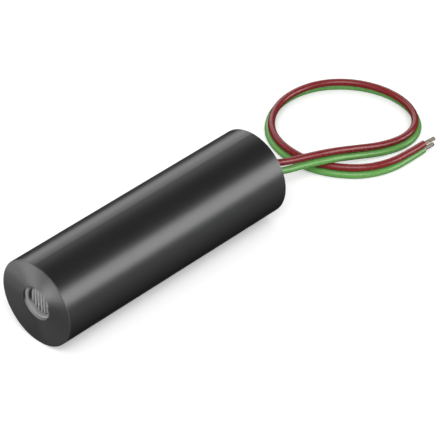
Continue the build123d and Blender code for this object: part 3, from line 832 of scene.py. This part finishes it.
# %% Finishes inside the barrel
metal_recipes = {
    "mount_brass": ("turned brass", (0.72, 0.5, 0.2), 0.3, (0.5, 0.33, 0.13), 0.12),
    "gold_plate": ("gold plate", (0.9, 0.66, 0.3), 0.28, (0.8, 0.56, 0.25), 0.0),
    "can_nickel": ("nickel plate", (0.66, 0.64, 0.6), 0.25, (0.56, 0.54, 0.5), 0.08),
    "pedestal_copper": ("gold flashed copper", (0.8, 0.45, 0.3), 0.3, (0.62, 0.33, 0.2), 0.0),
    "spring_steel": ("spring wire", (0.55, 0.55, 0.56), 0.25, (0.4, 0.4, 0.41), 0.0),
    "solder_tin": ("solder", (0.75, 0.75, 0.75), 0.2, (0.6, 0.6, 0.61), 0.0),
}
other_recipes = {
    "blackened_ring": ("matt black ring", (0.02, 0.02, 0.021), 0.55, dict(rings=0.15)),
    "bead_glass": ("sealing glass", (0.2, 0.26, 0.24), 0.12, dict(clear=0.4, depth=0.001 * mm)),
    "semiconductor": ("polished die", (0.15, 0.15, 0.18), 0.1, dict(depth=0.0005 * mm)),
    "black_moulding": ("black moulding", (0.02, 0.02, 0.021), 0.5, dict(scale=9000, depth=0.006 * mm)),
    "ceramic_block": ("brown ceramic", (0.35, 0.22, 0.12), 0.35, dict(second=(0.28, 0.17, 0.09))),
    "resistor_block": ("glazed black ceramic", (0.03, 0.03, 0.035), 0.25, {}),
    "sleeve_film": ("amber film", (0.75, 0.42, 0.08), 0.2, dict(clear=0.6, scale=700)),
    "lens_glass": (
        "lens glass", (0.95, 0.97, 0.98), 0.04,
        dict(clear=1.0, gloss=0.01, tone=0.01, depth=0.0002 * mm, ior=1.52),
    ),
}
for slot_name, (name, colour, rough, second, rings) in metal_recipes.items():
    finishes[slot_name] = plain_finish(
        name, colour, rough, second=second, metallic=1.0, scale=2500, rings=rings,
    )
for slot_name, (name, colour, rough, more) in other_recipes.items():
    finishes[slot_name] = plain_finish(name, colour, rough, **more)
print(len(metal_recipes) + len(other_recipes), "finishes inside")

# %% [markdown]
# ### Driver board
# The board's solder mask lies over woven glass, and the weave shows through as a faint check. A picture of a
# weave would repeat. Two sine waves across each other make the check at the weave's own pitch.

# %% Board finish
weave_pitch = 0.45 * mm
weave_depth = 0.004 * mm
mask_dark = (0.016, 0.14, 0.05, 1)
mask_light = (0.028, 0.19, 0.075, 1)


def board_laminate():
    """Green mask over a faint glass weave."""
    material, tree, shader = new_material("green board")
    grain = effect(tree, "fine grain", Scale=3000, Tone_Change=0.06, Gloss_Change=0.03)
    at = axes(tree, object_place(tree))
    warp = shape(tree, "SINE", shape(tree, "MULTIPLY", at["X"], math.tau / weave_pitch))
    weft = shape(tree, "SINE", shape(tree, "MULTIPLY", at["Y"], math.tau / weave_pitch))
    check = ramp(tree, shape(tree, "MULTIPLY", warp, weft), -1.0, 1.0)
    colour = blend(tree, check, mask_dark, mask_light)
    feed(tree, shader.inputs["Base Color"], toned(tree, colour, grain["Tone"]))
    feed(tree, shader.inputs["Roughness"], shape(tree, "ADD", grain["Gloss"], 0.3))
    feed(tree, shader.inputs["Normal"], dent(tree, check, weave_depth))
    return material


finishes["board_laminate"] = board_laminate()
print("weave every", round(weave_pitch / mm, 2), "mm")

# %% [markdown]
# ### Storage capacitor
# This is a yellow moulded block with a darker band printed at one end, where its plus pole is. The band
# could be a second piece, but it has no thickness. A ramp along the block, placed by its own box, draws it.

# %% Capacitor finish
band_share = 0.22
band_fade = 0.03 * mm
block_yellow = (0.6, 0.36, 0.04, 1)
band_brown = (0.22, 0.1, 0.03, 1)


def capacitor_moulding():
    """Yellow moulding with a darker band at one end."""
    material, tree, shader = new_material("banded yellow moulding")
    grain = effect(tree, "fine grain", Scale=7000, Tone_Change=0.07, Gloss_Change=0.03)
    low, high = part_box("storage_capacitor")
    edge = high[0] - (high[0] - low[0]) * band_share
    at = axes(tree, object_place(tree))
    band = ramp(tree, at["X"], edge - band_fade, edge + band_fade)
    colour = blend(tree, band, block_yellow, band_brown)
    feed(tree, shader.inputs["Base Color"], toned(tree, colour, grain["Tone"]))
    feed(tree, shader.inputs["Roughness"], shape(tree, "ADD", grain["Gloss"], 0.45))
    feed(tree, shader.inputs["Normal"], dent(tree, grain["Height"], 0.004 * mm))
    return material


finishes["capacitor_moulding"] = capacitor_moulding()
print(len(finishes), "finishes in all")

# %% [markdown]
# ## Dress every piece
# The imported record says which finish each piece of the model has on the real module, so no piece needs to be
# named here. The pieces that this script has added take the same finishes as what they stand for.

# %% Give each piece its finish
slot_of = {part["node"]: part["material_slot"] for part in frame["record"]["subparts"]}


def dress(piece, material):
    """Put one material on a piece, in place of what it had."""
    piece.data.materials.clear()
    piece.data.materials.append(material)


for name, piece in nodes.items():
    dress(piece, finishes[slot_of[name]])
for colour, lead in leads.items():
    dress(lead, finishes[colour + "_insulation"])
    dress(bare_ends[colour], finishes["tinned_copper"])
dress(resin_collars, finishes["potting_resin"])
print("dressed", len(nodes), "pieces of the model and", len(leads) + len(bare_ends) + 1, "of this script")

# %% [markdown]
# ## Floor
# The portrait stands on a pale sweep, so that only soft shadows are left. A black glossy barrel on a white
# floor would turn grey from below, so a photographer shields it with dark card. Here that is done by ray kind,
# with painted shade: mirrored rays find a floor that is dark round and behind the barrel, as under the card
# and in the barrel's own shadow, and pale some way past its front and its right side, while the eye and the
# soft light find it white.

# %% What mirrored rays find on the floor
# Painted shade for mirrored rays: the floor is dark inside these edges and pale past them.
painted_shade_edges = (("X", 19 * mm, 3), ("Y", 6 * mm, 1))
painted_shade_fade = (1 * mm, 16 * mm)
mirrored_shade_greys = (0.03, 0.46)


def choose(tree, ray, otherwise, then):
    """One of two shaders, by the kind of ray that asks."""
    mix = tree.nodes.new("ShaderNodeMixShader")
    feed(tree, mix.inputs["Fac"], tree.nodes.new("ShaderNodeLightPath").outputs[ray])
    feed(tree, mix.inputs[1], otherwise)
    feed(tree, mix.inputs[2], then)
    return mix.outputs[0]


def past_painted_shade(tree, at):
    """How far a place lies outside the painted shade, which ends at one edge in X and at one in Y."""
    squares = []
    for axis, edge, weight in painted_shade_edges:
        past = shape(tree, "MAXIMUM", shape(tree, "SUBTRACT", at[axis], edge), 0.0)
        squares.append(shape(tree, "POWER", shape(tree, "MULTIPLY", past, weight), 2.0))
    return shape(tree, "SQRT", shape(tree, "ADD", *squares))


print("dark up to", {axis: round(edge / mm, 1) for axis, edge, weight in painted_shade_edges})

# %% [markdown]
# ### The floor that the eye sees
# A floor of plain white paint would come out a pale grey, because it sends back only part of the light. A
# stronger lamp would burn out the leads as well. A little glow, for the eye alone, lifts the floor to the
# white of the photograph's ground and leaves its soft shadows. The floor lies a hair under the leads, so that
# the two never share a plane.

# %% Pale floor
floor_half = 1500 * mm
floor_drop = 0.02 * mm
floor_white = (0.8, 0.8, 0.8, 1)
floor_glow = 0.28


def pale_floor():
    """White paint with a glow for the eye alone, and for mirrored rays another grey with painted shade round
    the barrel.
    """
    material, tree, shader = new_material("pale floor")
    shader.inputs["Base Color"].default_value = floor_white
    shader.inputs["Roughness"].default_value = 1
    shader.inputs["Specular IOR Level"].default_value = 0
    glow = tree.nodes.new("ShaderNodeEmission")
    glow.inputs["Strength"].default_value = floor_glow
    seen = tree.nodes.new("ShaderNodeAddShader")
    feed(tree, seen.inputs[0], shader.outputs[0])
    feed(tree, seen.inputs[1], glow.outputs[0])
    away = past_painted_shade(tree, axes(tree, object_place(tree)))
    # Mirrored rays find painted shade near the barrel and a pale floor further off.
    shaded_mirror_floor = tree.nodes.new("ShaderNodeBsdfDiffuse")
    feed(tree, shaded_mirror_floor.inputs["Color"], ramp(tree, away, *painted_shade_fade, *mirrored_shade_greys))
    for_eye = choose(tree, "Is Camera Ray", shader.outputs[0], seen.outputs[0])
    surface = choose(tree, "Is Glossy Ray", for_eye, shaded_mirror_floor.outputs[0])
    feed(tree, tree.nodes["Material Output"].inputs["Surface"], surface)
    return material


work = bmesh.new()
bmesh.ops.create_grid(work, x_segments=1, y_segments=1, size=floor_half)
bmesh.ops.translate(work, verts=work.verts, vec=(0, 0, -floor_drop))
floor = finished_mesh("floor", work)
dress(floor, pale_floor())
print("floor", round(2 * floor_half, 2), "m wide")

# %% [markdown]
# ## Room
# Round the real set is a white tent. An even white sky does the same for the eye and for soft light, but it
# would fill every reflection too and take the black out of the barrel. So mirrored rays find almost nothing,
# and what the barrel mirrors is left to the panels below.

# %% White room, dark to mirrored rays
sky_seen, sky_soft, sky_mirrored = 1.0, 0.75, 0.05
world = bpy.data.worlds.new("studio")
bpy.context.scene.world = world
world.use_nodes = True
room = world.node_tree


def sky(strength):
    """A white background of one strength."""
    node = room.nodes.new("ShaderNodeBackground")
    node.inputs["Color"].default_value = (1, 1, 1, 1)
    node.inputs["Strength"].default_value = strength
    return node.outputs[0]


mirrored_or_soft = choose(room, "Is Glossy Ray", sky(sky_soft), sky(sky_mirrored))
whole_sky = choose(room, "Is Camera Ray", mirrored_or_soft, sky(sky_seen))
feed(room, room.nodes["World Output"].inputs["Surface"], whole_sky)
print("sky seen, soft and mirrored:", sky_seen, sky_soft, sky_mirrored)

# %% [markdown]
# ## Light
# The long highlight on the barrel is a low panel at its right, behind the camera's line, and the band near
# the upper edge is another behind it. A row of small cards stands just in front of the face, out of the
# picture, and makes its right side lighter than its left. Two of them have a grid, as a studio lamp has,
# that keeps their light off the barrel's side. A wide panel ahead draws the pale line at the upper right of
# the front's rim, and three long strips draw bands on the barrel for the other views.
# All these light only by reflection, so they can be tuned without changing the floor. One broad key light
# above the camera gives the leads their roundness and the floor its soft shadow.

# %% Place the panels
lights = []


def panel(name, place, width, height, radiance, aim=(0, 0, 7), gloss_only=True, grid=180):
    """A soft panel, in millimetres, turned to face its aim. A grid narrows its light to an angle."""
    data = bpy.data.lights.new(name, "AREA")
    data.shape = "RECTANGLE"
    data.size = width * mm
    data.size_y = height * mm
    data.energy = radiance * math.pi * data.size * data.size_y
    data.spread = math.radians(grid)
    light = linked(name, data)
    light.location = Vector(place) * mm
    away = Vector(place) - Vector(aim)
    light.rotation_euler = away.to_track_quat("Z", "Y").to_euler()
    light.visible_diffuse = not gloss_only
    light.visible_camera = False
    lights.append(light)


panel("side panel", (-347, 456, 187), 500, 310, 6.6)
panel("rear panel", (-351, -443, 207), 500, 260, 2.4)
panel("upper rear panel", (-351, -310, 380), 500, 260, 0.7)
panel("bright card", (46, -5.5, 3.5), 7, 7, 8.8, aim=(22.5, -5.5, 3.5))
panel("right card", (46, 1, 3.5), 6, 7, 4.4, aim=(22.5, 1, 3.5))
panel("middle card", (46, -13.5, 8), 9, 12, 0.27, aim=(22.5, 2, 8), grid=50)
panel("next card", (46, -23, 8), 10, 12, 0.27, aim=(22.5, 2, 8), grid=50)
panel("far card", (46, -35, 7), 14, 14, 1.8, aim=(22.5, -35, 7))
panel("left card", (32, -20, 12), 24, 24, 0.9, aim=(22.5, -3, 12))
panel("rim panel", (480, 60, 330), 420, 260, 1.8)
panel("left strip", (150, -560, 330), 500, 160, 3.6)
panel("right strip", (150, 560, 330), 500, 160, 3.6)
panel("top strip", (150, 60, 700), 500, 160, 1.2)
panel("key", (375, 375, 600), 500, 500, 5.5, gloss_only=False)
print(len(lights), "panels, strongest", max(lights, key=lambda light: light.data.energy).name)

# %% [markdown]
# ## Colours as they are
# Blender's usual view softens bright tones and dulls strong colours, as film does. The photograph has a pure
# white ground and full reds and greens, so the plain Standard view is the nearer one.

# %% Choose the view
bpy.context.scene.view_settings.view_transform = "Standard"
print("view:", bpy.context.scene.view_settings.view_transform)
